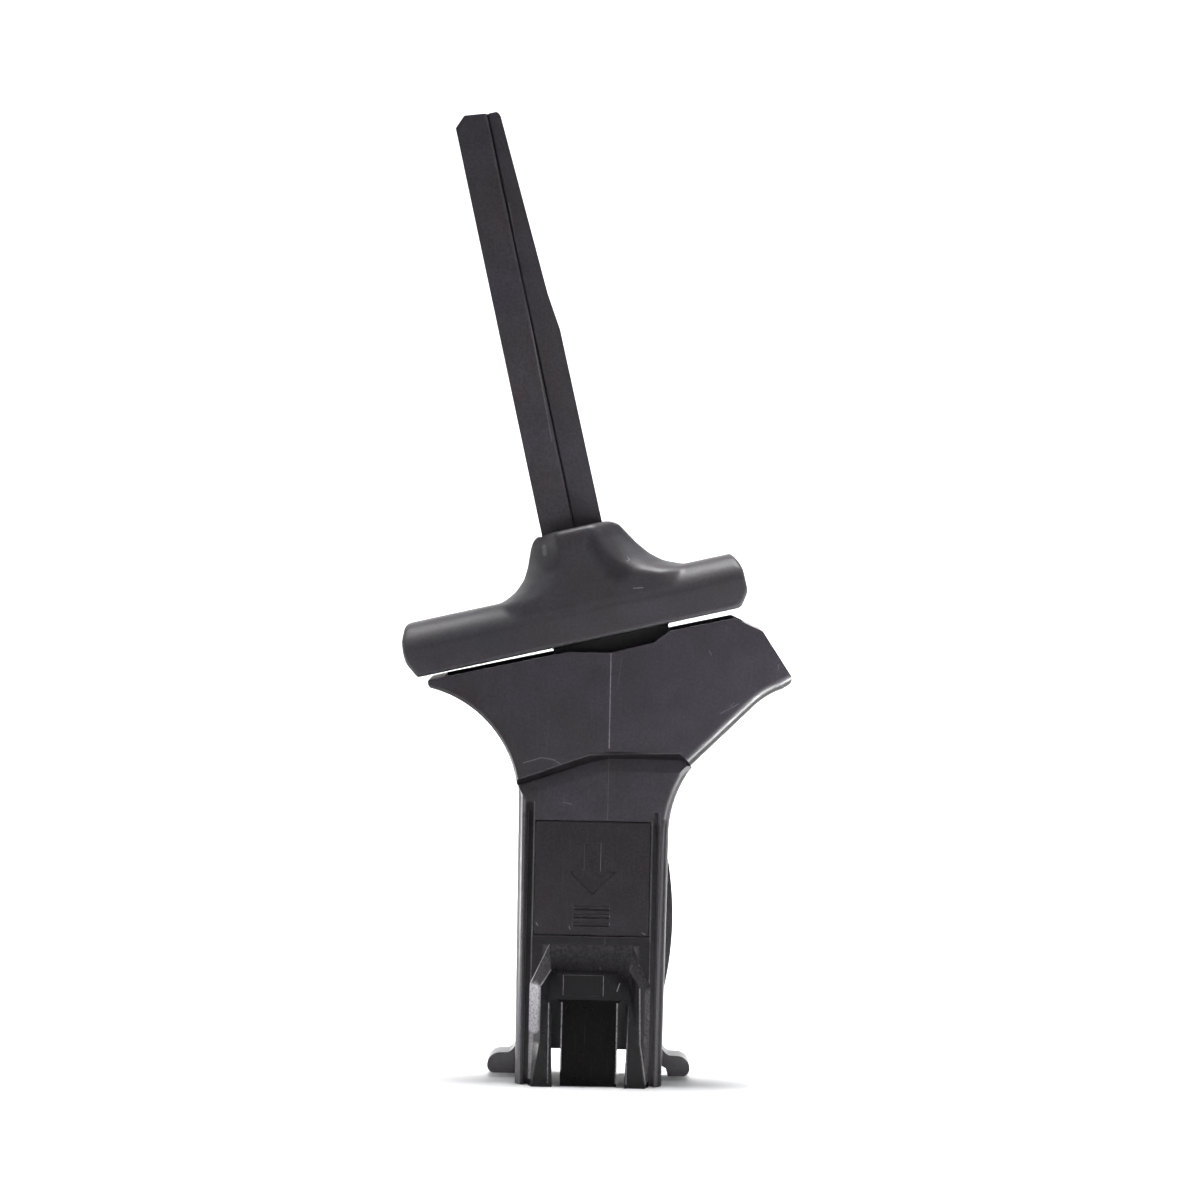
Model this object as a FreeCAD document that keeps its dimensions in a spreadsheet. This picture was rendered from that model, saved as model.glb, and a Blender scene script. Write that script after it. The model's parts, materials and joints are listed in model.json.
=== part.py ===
import FreeCAD, Part
import math
import os

import Sketcher

# Cartridge magazine loader with its plunger parked upside down on the hopper, in millimetres.
#
# Frame: the origin is the centre of the magazine well's mouth, +Z goes up the column, +X runs along the
# magazine's front-to-back line, and the hood is on the -Y side. Hopper and column are one shell in two
# halves that meet at the seam. Each sub-part is made from PartDesign bodies whose sketches read "Sizes".

SIZES = {
    # how far a cut or a root runs past the face that it crosses
    "over": 1,
    # column
    "seam_x": 3.3,
    "column_half": 17.65,
    "foot_half": 17.15,
    "column_depth": 8.4,
    "column_top": 58.5,
    "corner_round": 2.2,
    "groove_inner": 14.05,
    "groove_wide": 1.1,
    "groove_deep": 1,
    "groove_top": 64,
    "channel_half": 13.75,
    "channel_depth": 5.3,
    "well_half": 15.8,
    "well_depth": 6.6,
    "well_top": 34,
    # hopper
    "flank_round": 27,
    "hopper_depth": 10.5,
    "hopper_wall": 1.8,
    "rim_round": 2.7,
    "arc_edge_round": 0.9,
    "tip_x": 39.1,
    "tip_z": 93.9,
    "tip_round": 1.6,
    "tip_under_x": 38.4,
    "tip_drop": 1.9,
    "left_root_z": 67.2,
    "right_root_x": 22.3,
    "right_root_z": 73.9,
    "rim_root_x": 22.2,
    "rim_root_z": 74.8,
    "shoulder_left": 21.2,
    "shoulder_right": 26.6,
    "shoulder_z": 79.3,
    "bevel_low_z": 61,
    "bevel_low_x": 16.9,
    "bevel_top_x": 21.2,
    "bevel_out": 28,
    "bevel_slope": 0.5,
    "elbow_x": 37,
    "elbow_z": 89.4,
    "lip_x": 43.4,
    "lip_z": 93.4,
    "elbow_round": 18,
    "nose_x": 46.3,
    "nose_z": 95.2,
    "nose_low_x": 44.5,
    "nose_low_z": 94.1,
    "nose_high_x": 45.2,
    "nose_high_z": 96.9,
    "nose_round": 2,
    "cut_x": 38.5,
    "cut_z": 106.9,
    "crest_x": 31.8,
    "crest_z": 109.8,
    "notch_left": 10.6,
    "notch_right": 16.5,
    "notch_floor": 101.2,
    "notch_bend_x": 13.2,
    "notch_bend_z": 103.8,
    "notch_right_z": 106.4,
    "step_left_x": 19,
    "step_left_z": 71.0,
    "step_middle_x": 1.2,
    "step_middle_z": 77.4,
    "step_right_x": 19.8,
    "step_right_z": 78.2,
    "step_end_x": 23.6,
    "step_end_z": 74.5,
    "joint_drop": 1.9,
    "joint_depth": 7.2,
    "joint_shift": 0.5,
    "joint_end_fall": 0.3,
    "cove_high": 2.9,
    "arc_root_x": 17.95,
    "arc_root_z": 69.6,
    "throat_low": 73,
    "throat_top": 79.5,
    "mouth_left": 35.5,
    "mouth_left_z": 93.1,
    "mouth_left_round": 29,
    "floor_left": 18.6,
    "floor_left_z": 78.6,
    "floor_z": 77.4,
    "floor_right": 24.2,
    "floor_right_z": 79.6,
    "mouth_elbow_x": 36.6,
    "mouth_elbow_z": 91.9,
    "mouth_nose_x": 42.6,
    "mouth_nose_z": 95.6,
    "mouth_cut_x": 35.9,
    "mouth_cut_z": 105.2,
    "mouth_right": 32,
    "mouth_clear": 114,
    # front panel
    "panel_half": 13.55,
    "panel_low": 34.9,
    "panel_high": 26.9,
    "panel_thick": 1.0,
    "panel_sink": 0.15,
    "panel_gap": 0.12,
    "mark_deep": 0.3,
    "mark_top": 56.5,
    "mark_tip": 44.5,
    "mark_shaft": 1.9,
    "mark_head": 5.6,
    "bar_half": 4.2,
    "bar_high": 0.9,
    "bar_step": 1.9,
    "bar_low": 37.2,
    # hood, tongue and their slots
    "hood_out": 2.2,
    "hood_base_half": 14.1,
    "hood_face_half": 11.4,
    "hood_foot_half": 13.2,
    "hood_facet_z": 10.5,
    "hood_shoulder_z": 23.5,
    "hood_base_top_half": 9.7,
    "hood_face_top_half": 9.1,
    "hood_face_top": 27.4,
    "hood_base_top": 33,
    "window_half": 9.05,
    "window_foot_half": 8.4,
    "window_top": 20.4,
    "window_round": 1.2,
    "window_back": 0.4,
    "tongue_half": 6.6,
    "tongue_low": 0.2,
    "tongue_sink": 0.9,
    "tongue_thick": 1.5,
    "tongue_gap": 0.15,
    "nib_low": 2.5,
    "nib_high": 5,
    "nib_out": 1.3,
    "nib_half": 4.5,
    "badge_left": 6.2,
    "badge_right": 3.1,
    "badge_low": 21.3,
    "badge_high": 4.8,
    "badge_deep": 0.25,
    # back of the column
    "back_notch_half": 10,
    "back_notch_high": 5.8,
    "back_panel_deep": 0.4,
    # ears
    "ear_tip": 23.9,
    "ear_tip_z": 2.9,
    "ear_low": 1,
    "ear_low_x": 22.6,
    "ear_low_round": 2,
    "ear_high": 5.8,
    "ear_high_x": 21.2,
    "ear_high_round": 3,
    "ear_back": 7,
    "ear_neck": 19,
    "ear_neck_z": 5.9,
    "ear_root_z": 8.1,
    "ear_root_round": 3.4,
    "ear_gap": 0.1,
    "ear_notch_high": 3.4,
    "ear_notch_right": 18.3,
    "ear_notch_right_z": 2.8,
    # side bow
    "bow_low": 21.5,
    "bow_top": 53.3,
    "bow_round": 78,
    "bow_outer": 17.6,
    "bow_root": 1.2,
    "bow_front": 2.6,
    "bow_wide": 2.6,
    "bow_gap": 0.15,
    # plunger
    "lean": 13.4,
    "park_x": -4.3,
    "park_z": 103.7,
    "palm": -0.4,
    "palm_left": 38.4,
    "palm_right": 38.6,
    "arm_left": 40.3,
    "arm_right": 41,
    "arm_low": 3,
    "arm_high": 12.1,
    "arm_top_left": 38.2,
    "arm_top_right": 38.6,
    "arm_end_round": 12,
    "arm_side": 6.5,
    "arm_flat": 4.5,
    "arm_round": 7,
    "grip_depth": 11,
    "hub_top": 26,
    "recess_half": 34,
    "recess_depth": 8.4,
    "recess_high": 2.6,
    "cap_thick": 2.4,
    "cap_gap": 0.2,
    "pocket_left": 9,
    "pocket_right": 16,
    "pocket_depth": 6.4,
    "pocket_high": 8,
    "flange_high": 5.2,
    "flange_thick": 2.6,
    "plug_left": 6.2,
    "plug_right": 21.2,
    "plug_depth": 8.1,
    "plug_long": 8,
    "plug_round": 2.2,
    "blade_left": 3.4,
    "blade_right": 11.2,
    "rib_right": 4.3,
    "rib_half": 4.3,
    "rib_round": 0.7,
    "web_half": 3.3,
    "blade_groove": 0.55,
    "blade_groove_deep": 0.9,
    "blade_kink_z": 72.2,
    "blade_kink_x": 11.1,
    "blade_neck_z": 81,
    "blade_neck_x": 10.05,
    "blade_end_left": 2.9,
    "blade_end_step": 4.9,
    "blade_end_right": 8.1,
    "blade_end_z": 123.4,
    "blade_tip_left": 0.3,
    "blade_tip_right": 7.3,
    "blade_tip_z": 125.9,
    "blade_tip_drop": 0.6,
    "blade_tip_round": 2.2,
    "blade_slack": 0.15,
}

# Sections of the bell between the arms and the hub: height, left reach, right reach, half depth, and the
# corner's size and arc radius. A radius equal to the size is a quarter circle, and a negative one is hollow.
BELL = [
    (3, 24, 35, 11, 9.5, 9.5),
    (8, 20.5, 32.5, 10.55, 9.5, 9.5),
    (11.6, 18, 29.6, 10.2, 9.3, 9.3),
    (12.6, 14.9, 26.8, 10.05, 9, 9.6),
    (14, 12.2, 23.4, 9.9, 8.4, 10.5),
    (16.4, 9.7, 20.5, 9.6, 8, 13),
    (19.4, 8.1, 18.1, 9.3, 7.4, 24),
    (22.6, 6.9, 16.1, 8.95, 6.6, -60),
    (24.6, 5.9, 14.9, 8.7, 5.6, -24),
    (25.6, 4.7, 13.3, 8.3, 4.6, -40),
    (26, 3.2, 11.6, 7.6, 3, 30),
]
BELL_PARTS = ("height", "left", "right", "depth", "corner", "turn")

# A length that passes right through anything here, and the least volume that a pocket must remove.
THROUGH = 80
LEAST_CUT = 0.01

doc = FreeCAD.newDocument("magazine_loader")
sheet = doc.addObject("Spreadsheet::Sheet", "Sizes")


def fill_sheet():
    """Puts each size in its own row of the sheet: its name, its number and the alias."""
    sizes = dict(SIZES)
    for level, section in enumerate(BELL, start=1):
        for part, number in zip(BELL_PARTS, section):
            sizes[f"bell_{part}_{level}"] = number
    for row, (name, number) in enumerate(sizes.items(), start=1):
        sheet.set(f"A{row}", name.replace("_", " "))
        sheet.set(f"B{row}", str(number))
        sheet.setAlias(f"B{row}", name)
    doc.recompute()


class Size:
    """A length that carries both its number and the sheet formula that it comes from."""

    def __init__(self, formula, number):
        self.formula = formula
        self.number = number

    def __add__(self, other):
        other = size(other)
        return Size(f"({self.formula} + {other.formula})", self.number + other.number)

    def __sub__(self, other):
        other = size(other)
        return Size(f"({self.formula} - {other.formula})", self.number - other.number)

    def __mul__(self, other):
        other = size(other)
        return Size(f"({self.formula} * {other.formula})", self.number * other.number)

    def __truediv__(self, other):
        other = size(other)
        return Size(f"({self.formula} / {other.formula})", self.number / other.number)

    def __neg__(self):
        return size(0) - self

    def __radd__(self, other):
        return size(other) + self

    def __rsub__(self, other):
        return size(other) - self


def size(what):
    """Reads a size by its alias, or turns a plain number into one."""
    if isinstance(what, Size):
        return what
    if isinstance(what, str):
        return Size(f"Sizes.{what}", float(sheet.get(what)))
    return Size(str(what), float(what))


def new_body(name):
    body = doc.addObject("PartDesign::Body", name)
    body.Label = name
    return body


def new_sketch(body, name, role, offset=0):
    """A sketch on one of the body's own origin planes, moved along that plane's normal by offset."""
    sketch = body.newObject("Sketcher::SketchObject", name)
    plane = [feature for feature in body.Origin.OriginFeatures if feature.Role == role][0]
    sketch.AttachmentSupport = [(plane, "")]
    sketch.MapMode = "FlatFace"
    offset = size(offset)
    sketch.AttachmentOffset = FreeCAD.Placement(FreeCAD.Vector(0, 0, offset.number), FreeCAD.Rotation())
    sketch.setExpression("AttachmentOffset.Base.z", offset.formula)
    return sketch


def arc_between(start, end, radius):
    """The short arc from start to end; a positive radius turns left, a negative one turns right."""
    middle = (start + end) / 2
    chord = end - start
    left = FreeCAD.Vector(-chord.y, chord.x, 0).normalize()
    side = 1 if radius > 0 else -1
    reach = math.sqrt(radius * radius - chord.Length * chord.Length / 4)
    centre = middle + left * (side * reach)
    first, last = (start, end) if side > 0 else (end, start)
    first_angle = math.atan2(first.y - centre.y, first.x - centre.x)
    last_angle = math.atan2(last.y - centre.y, last.x - centre.x)
    circle = Part.Circle(centre, FreeCAD.Vector(0, 0, 1), abs(radius))
    return Part.ArcOfCircle(circle, first_angle, last_angle)


def fix(sketch, kind, places, length):
    """Adds one dimension to a sketch and binds it to the sheet."""
    index = sketch.addConstraint(Sketcher.Constraint(kind, *places, length.number))
    sketch.setExpression(f"Constraints[{index}]", length.formula)


def outline(sketch, stops):
    """Draws a closed outline. A stop is (x, y), or (x, y, radius) when an arc leads to the next stop."""
    stops = [[size(value) for value in stop] for stop in stops]
    corners = [FreeCAD.Vector(stop[0].number, stop[1].number, 0) for stop in stops]
    base = sketch.GeometryCount
    ends = []
    for index, stop in enumerate(stops):
        start = corners[index]
        end = corners[(index + 1) % len(stops)]
        if len(stop) == 3:
            sketch.addGeometry(arc_between(start, end, stop[2].number), False)
            ends.append((1, 2) if stop[2].number > 0 else (2, 1))
        else:
            sketch.addGeometry(Part.LineSegment(start, end), False)
            ends.append((1, 2))
    for index, stop in enumerate(stops):
        following = (index + 1) % len(stops)
        here = (base + index, ends[index][1])
        there = (base + following, ends[following][0])
        sketch.addConstraint(Sketcher.Constraint("Coincident", *here, *there))
        fix(sketch, "DistanceX", (-1, 1, base + index, ends[index][0]), stop[0])
        fix(sketch, "DistanceY", (-1, 1, base + index, ends[index][0]), stop[1])
        if len(stop) == 3:
            radius = stop[2] if stop[2].number > 0 else -stop[2]
            fix(sketch, "Radius", (base + index,), radius)


def extrude(body, kind, name, sketch, length, both=False, back=False):
    """A Pad or a Pocket of a sketch: to one side of it, to the opposite side, or half to each side."""
    feature = body.newObject(f"PartDesign::{kind}", name)
    feature.Profile = sketch
    length = size(length)
    feature.Length = length.number
    feature.setExpression("Length", length.formula)
    if both:
        feature.SideType = "Symmetric"
    feature.Reversed = back
    sketch.Visibility = False
    doc.recompute()
    return feature


def slab(body, kind, name, stops, half):
    """Pads or pockets an outline of the XZ plane by half to each side of that plane."""
    sketch = new_sketch(body, name + "_sketch", "XZ_Plane")
    outline(sketch, stops)
    return extrude(body, kind, name, sketch, size(half) * 2, both=True)


def raise_front(body, name, stops, start, thick):
    """Pads an outline forward from the plane y = -start."""
    sketch = new_sketch(body, name + "_sketch", "XZ_Plane", start)
    outline(sketch, stops)
    return extrude(body, "Pad", name, sketch, thick)


def sink_front(body, name, stops, start, deep):
    """Pockets an outline backward from the plane y = -start."""
    sketch = new_sketch(body, name + "_sketch", "XZ_Plane", start)
    outline(sketch, stops)
    return extrude(body, "Pocket", name, sketch, deep)


def sink_back(body, name, stops, start, deep):
    """Pockets an outline forward from the plane y = +start."""
    sketch = new_sketch(body, name + "_sketch", "XZ_Plane", -size(start))
    outline(sketch, stops)
    return extrude(body, "Pocket", name, sketch, deep, back=True)


def bore(body, name, half_wide, half_deep, low, high):
    """Cuts a rectangular hole upward, from z = low over a height of high."""
    sketch = new_sketch(body, name + "_sketch", "XY_Plane", low)
    outline(sketch, rectangle(-size(half_wide), half_wide, -size(half_deep), half_deep))
    return extrude(body, "Pocket", name, sketch, high, back=True)


def rectangle(left, right, low, high):
    return [(left, low), (right, low), (right, high), (left, high)]


def mirrored(stops, side):
    """The outline as it is for side 1, or flipped about x = 0 for side -1."""
    flipped = []
    for across, up, *radius in stops:
        flipped.append((size(across) * side, up, *(size(turn) * side for turn in radius)))
    return flipped


def loft(body, kind, name, sketches):
    """Joins sketches of equal corner counts by straight faces."""
    feature = body.newObject(f"PartDesign::{kind}", name)
    feature.Profile = sketches[0]
    feature.Sections = sketches[1:]
    feature.Ruled = True
    for sketch in sketches:
        sketch.Visibility = False
    doc.recompute()
    return feature


def round_edges(body, name, radius, chosen):
    """Fillets the edges of the body's tip for which chosen(edge) is true."""
    shape = body.Tip.Shape
    names = [f"Edge{index}" for index, edge in enumerate(shape.Edges, start=1) if chosen(edge)]
    base = body.Tip
    feature = body.newObject("PartDesign::Fillet", name)
    feature.Base = (base, names)
    radius = size(radius)
    feature.Radius = radius.number
    feature.setExpression("Radius", radius.formula)
    base.Visibility = False
    doc.recompute()
    return feature


def middle_of(edge):
    return edge.valueAt((edge.FirstParameter + edge.LastParameter) / 2)


def on_depth(edge, depth):
    """True when the whole edge lies in one of the planes y = -depth and y = +depth."""
    box = edge.BoundBox
    close = 1e-4
    return abs(abs(box.YMin) - depth) < close and abs(abs(box.YMax) - depth) < close and box.YLength < close


# ---------------------------------------------------------------- hopper and column, in two halves


def column_outline():
    """The column, with its shoulders running up to the level where the joint cuts them off."""
    return [
        (-size("foot_half"), 0),
        ("foot_half", 0),
        ("column_half", "column_top", -size("flank_round")),
        ("right_root_x", "right_root_z"),
        ("shoulder_right", "shoulder_z"),
        (-size("shoulder_left"), "shoulder_z", -size("flank_round")),
        (-size("column_half"), "left_root_z"),
    ]


def joint_line(drop):
    """The bent line across the front at the hopper's lower edge, lowered by drop, from left to right."""
    drop = size(drop)
    shift = drop * "joint_shift"
    return [
        (-size("step_left_x"), size("step_left_z") - drop),
        (shift - "step_middle_x", size("step_middle_z") - drop),
        ("seam_x", size("step_right_z") - drop),
        (shift + "step_right_x", size("step_right_z") - drop),
        ("step_end_x", size("step_end_z") - drop * "joint_end_fall"),
    ]


def hopper_outline():
    """The hopper above its joint, with its left tip, slanted top, cut corner and nose."""
    joint = joint_line("joint_drop")
    return [
        (-size("arc_root_x"), "arc_root_z"),
        *joint[1:4],
        ("rim_root_x", "rim_root_z"),
        ("elbow_x", "elbow_z", -size("elbow_round")),
        ("lip_x", "lip_z"),
        ("nose_x", "nose_z"),
        ("cut_x", "cut_z"),
        ("crest_x", "crest_z"),
        (-size("tip_x"), "tip_z", "tip_round"),
        (-size("tip_under_x"), size("tip_z") - "tip_drop", -size("flank_round")),
    ]


def bevel_along_joint(body, name, near, far):
    """Cuts a sloping face beside the joint, front and back.

    near and far each give a depth and the two drops between which material goes at that depth.
    """
    for side, where in ((1, "front"), (-1, "back")):
        sections = []
        for index, (depth, upper, lower) in enumerate((near, far)):
            sketch = new_sketch(body, f"{where}_{name}_{index + 1}", "XZ_Plane", size(depth) * side)
            outline(sketch, joint_line(lower) + joint_line(upper)[::-1])
            sections.append(sketch)
        loft(body, "SubtractiveLoft", f"{where}_{name}", sections)


def cut_hopper(body):
    """The mouth between the wings, its floor, and the throat that narrows to the cartridge channel."""
    mouth = [
        (-size("mouth_left"), "mouth_left_z", -size("mouth_left_round")),
        (-size("floor_left"), "floor_left_z"),
        (-size("channel_half"), "floor_z"),
        ("channel_half", "floor_z"),
        ("floor_right", "floor_right_z"),
        ("mouth_elbow_x", "mouth_elbow_z", -size("elbow_round")),
        ("mouth_nose_x", "mouth_nose_z"),
        ("mouth_cut_x", "mouth_cut_z"),
        ("mouth_right", "mouth_clear"),
        (-size("mouth_left"), "mouth_clear"),
    ]
    inside = size("hopper_depth") - "hopper_wall"
    slab(body, "Pocket", "mouth", mouth, inside)
    sections = []
    for height, half_deep in (("throat_low", size("channel_depth")), ("throat_top", inside)):
        sketch = new_sketch(body, f"{height}_section", "XY_Plane", height)
        outline(sketch, rectangle(-size("channel_half"), "channel_half", -half_deep, half_deep))
        sections.append(sketch)
    loft(body, "SubtractiveLoft", "throat", sections)
    notch = [
        (-size("notch_left"), "notch_floor"),
        ("seam_x", "notch_floor"),
        ("notch_bend_x", "notch_bend_z"),
        ("notch_right", "notch_right_z"),
        ("notch_right", "mouth_clear"),
        (-size("notch_left"), "mouth_clear"),
    ]
    slab(body, "Pocket", "mouth_notch", notch, size("hopper_depth") + "over")


def cut_channel(body):
    """The straight way that a column of cartridges takes down to the magazine."""
    bore(body, "channel", "channel_half", "channel_depth", -size("over"), "mouth_clear")


def cut_column(body):
    """The magazine well below the channel, and what is sunk into the column's faces."""
    over = size("over")
    depth = size("column_depth")
    bore(body, "well", "well_half", "well_depth", -over, size("well_top") + over)
    panel = rectangle(-size("panel_half"), "panel_half", "panel_low", size("panel_low") + "panel_high")
    sink_front(body, "panel_seat", panel, depth, "panel_thick")
    sink_back(body, "back_panel", panel, depth, "back_panel_deep")
    right_groove = rectangle("groove_inner", size("groove_inner") + "groove_wide", -over, "groove_top")
    for side, name in ((-1, "left"), (1, "right")):
        groove = mirrored(right_groove, side)
        sink_front(body, f"front_groove_{name}", groove, depth, "groove_deep")
        sink_back(body, f"back_groove_{name}", groove, depth, "groove_deep")
    half = size("window_half") + "window_back"
    window = rectangle(-half, half, -over, size("window_top") + "window_back")
    sink_front(body, "tongue_window", window, depth + over, depth)
    notch = rectangle(-size("back_notch_half"), "back_notch_half", -over, "back_notch_high")
    sink_back(body, "back_notch", notch, depth + over, depth)


def add_ear(body, side):
    """The rounded foot ear beside the well's mouth, behind the middle plane."""
    root = size("foot_half") - "over"
    ear = [
        (root, "ear_low"),
        ("ear_low_x", "ear_low", "ear_low_round"),
        ("ear_tip", "ear_tip_z", "ear_high_round"),
        ("ear_high_x", "ear_high"),
        ("ear_neck", "ear_neck_z", -size("ear_root_round")),
        ("foot_half", "ear_root_z"),
        (root, "ear_root_z"),
    ]
    raise_front(body, "ear", mirrored(ear, side), -size("ear_back"), "ear_back")


def cut_ear_notch(body):
    """The undercut beside the root of the right ear."""
    start = size("ear_back") + "over"
    left = size("foot_half") + "ear_gap"
    notch = [
        (left, 0),
        ("ear_neck", 0),
        ("ear_notch_right", "ear_notch_right_z"),
        (left, "ear_notch_high"),
    ]
    sink_back(body, "ear_notch", notch, start, start + "over")


def cut_bow_slot(body):
    """The slot in the right wall that takes the side bow."""
    gap = size("bow_gap")
    low = size("bow_front") - gap
    high = size("bow_front") + "bow_wide" + gap
    start = size("channel_half") - "over"
    sketch = new_sketch(body, "bow_slot_sketch", "YZ_Plane", start)
    outline(sketch, rectangle(low, high, size("bow_low") - gap, size("bow_top") + gap))
    extrude(body, "Pocket", "bow_slot", sketch, size("column_half") - start + "over", back=True)


def column_side(edge):
    """True for the long outer corners of the column and its shoulders."""
    outside = abs(middle_of(edge).x) > size("well_half").number
    return on_depth(edge, size("column_depth").number) and outside


def right_rim(edge):
    """True for the edges of the hopper's right underside, from its joint to its nose."""
    middle = middle_of(edge)
    beyond_root = middle.x > size("rim_root_x").number
    return on_depth(edge, size("hopper_depth").number) and beyond_root and middle.z < size("nose_z").number


def left_rim(edge):
    """True for the edges of the hopper's concave left underside."""
    middle = middle_of(edge)
    beyond_root = middle.x < -size("arc_root_x").number
    below_tip = middle.z < size("tip_z").number - size("tip_drop").number
    round_edge = isinstance(edge.Curve, Part.Circle)
    return on_depth(edge, size("hopper_depth").number) and beyond_root and below_tip and round_edge


def round_nose(body):
    """Rounds the nose's corner, across the whole depth."""
    over = size("over")
    corner = [
        ("nose_high_x", "nose_high_z", -size("nose_round")),
        ("nose_low_x", "nose_low_z"),
        (size("nose_x") + over, "nose_low_z"),
        (size("nose_x") + over, "nose_high_z"),
    ]
    slab(body, "Pocket", "nose_corner", corner, size("hopper_depth") + over)


def bevel_shoulder(body):
    """Takes the right shoulder's corners off with a flat face that widens upward, front and back."""
    depth = size("column_depth")
    outer = depth + "over"
    for side, where in ((-1, "front"), (1, "back")):
        sections = []
        for height, start in (("bevel_low_z", "bevel_low_x"), ("shoulder_z", "bevel_top_x")):
            inner = depth - (size("bevel_out") - start) * "bevel_slope"
            sketch = new_sketch(body, f"{where}_{start}_section", "XY_Plane", height)
            corners = [(start, depth), ("bevel_out", inner), ("bevel_out", outer), (start, outer)]
            outline(sketch, [(across, out * side) for across, out in corners])
            sections.append(sketch)
        loft(body, "SubtractiveLoft", f"{where}_shoulder_bevel", sections)


def keep_one_side(body, side):
    """Cuts the body away on the other side of the seam."""
    far = size("seam_x") - side * THROUGH
    low, high = (far, "seam_x") if side > 0 else ("seam_x", far)
    slab(body, "Pocket", "seam_cut", rectangle(low, high, -THROUGH, 2 * THROUGH), THROUGH)


def make_hopper_half(name, side):
    """One half of the hopper, with its share of the mouth and the throat."""
    body = new_body(name)
    slab(body, "Pad", "hopper", hopper_outline(), "hopper_depth")
    if side > 0:
        round_edges(body, "rim", "rim_round", right_rim)
        round_nose(body)
    else:
        round_edges(body, "rim", "arc_edge_round", left_rim)
    out = size("hopper_depth") + "over"
    rise = size("joint_drop") / (size("hopper_depth") - "joint_depth")
    outer_drop = size("joint_drop") - (out - "joint_depth") * rise
    below = size("joint_drop") + "cove_high"
    bevel_along_joint(body, "underside", ("joint_depth", "joint_drop", below), (out, outer_drop, below))
    cut_hopper(body)
    cut_channel(body)
    keep_one_side(body, side)
    return body


def make_column_half(name, side):
    """One half of the column, with its share of the channel, the magazine well and an ear."""
    body = new_body(name)
    slab(body, "Pad", "column", column_outline(), "column_depth")
    round_edges(body, "column_corners", "corner_round", column_side)
    if side > 0:
        bevel_shoulder(body)
    joint = joint_line("joint_drop")
    above = [(-THROUGH, 2 * THROUGH), (-THROUGH, joint[0][1])]
    above += joint
    above += [(THROUGH, joint[-1][1]), (THROUGH, 2 * THROUGH)]
    slab(body, "Pocket", "joint", above, THROUGH)
    out = size("column_depth") + "over"
    rise = size("cove_high") / (size("column_depth") - "joint_depth")
    outer_drop = size("joint_drop") + (out - "joint_depth") * rise
    bevel_along_joint(body, "cove", ("joint_depth", 0, "joint_drop"), (out, 0, outer_drop))
    add_ear(body, side)
    cut_channel(body)
    cut_column(body)
    if side > 0:
        cut_ear_notch(body)
        cut_bow_slot(body)
    keep_one_side(body, side)
    return body


def make_half(name, side):
    """One moulded half of the loader's body: its shares of the column and the hopper, as one solid."""
    half = doc.addObject("Part::Fuse", name)
    half.Label = name
    half.Base = make_column_half(f"{name}_column", side)
    half.Tool = make_hopper_half(f"{name}_hopper", side)
    half.Refine = True
    return half


# ---------------------------------------------------------------- panel, hood, tongue and side bow


def make_panel():
    """The plate let into the front of the column, with a sunk arrow and three bars."""
    body = new_body("front_panel")
    gap = size("panel_gap")
    half = size("panel_half") - gap
    low = size("panel_low") + gap
    high = size("panel_low") + "panel_high" - gap
    face = size("column_depth") - "panel_sink"
    back = size("column_depth") - "panel_thick"
    raise_front(body, "plate", rectangle(-half, half, low, high), back, face - back)
    head = size("mark_head")
    shaft = size("mark_shaft")
    neck = size("mark_tip") + head
    arrow = [
        (0, "mark_tip"),
        (head, neck),
        (shaft, neck),
        (shaft, "mark_top"),
        (-shaft, "mark_top"),
        (-shaft, neck),
        (-head, neck),
    ]
    sink_front(body, "arrow", arrow, face, "mark_deep")
    for index in range(3):
        low = size("bar_low") + size("bar_step") * index
        bar = rectangle(-size("bar_half"), "bar_half", low, low + "bar_high")
        sink_front(body, f"bar_{index + 1}", bar, face, "mark_deep")
    return body


def hood_section(body, name, depth, halves, top):
    """One section of the hood, with its half-widths at the foot, the side, the shoulder and the top."""
    sketch = new_sketch(body, name, "XZ_Plane", depth)
    right = list(zip(halves, (0, "hood_facet_z", "hood_shoulder_z", top)))
    left = [(-size(across), up) for across, up in reversed(right)]
    outline(sketch, right + left)
    return sketch


def make_hood():
    """The faceted cover at the bottom front, with the window that the tongue hangs in."""
    body = new_body("magwell_hood")
    base = size("hood_base_half")
    face = size("hood_face_half")
    face_depth = size("column_depth") + "hood_out"
    base_halves = [base, base, base, "hood_base_top_half"]
    face_halves = ["hood_foot_half", face, face, "hood_face_top_half"]
    sections = [
        hood_section(body, "base", "column_depth", base_halves, "hood_base_top"),
        hood_section(body, "face", face_depth, face_halves, "hood_face_top"),
    ]
    loft(body, "AdditiveLoft", "cover", sections)
    round_window = size("window_round")
    top = size("window_top")
    window = [
        (-size("window_foot_half"), -size("over")),
        ("window_foot_half", -size("over")),
        ("window_half", top - round_window, round_window),
        (size("window_half") - round_window, top),
        (-size("window_half") + round_window, top, round_window),
        (-size("window_half"), top - round_window),
    ]
    sink_front(body, "window", window, face_depth + "over", size("hood_out") + size("over") * 2)
    badge = rectangle(-size("badge_left"), "badge_right", "badge_low", size("badge_low") + "badge_high")
    sink_front(body, "badge", badge, face_depth, "badge_deep")
    return body


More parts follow.
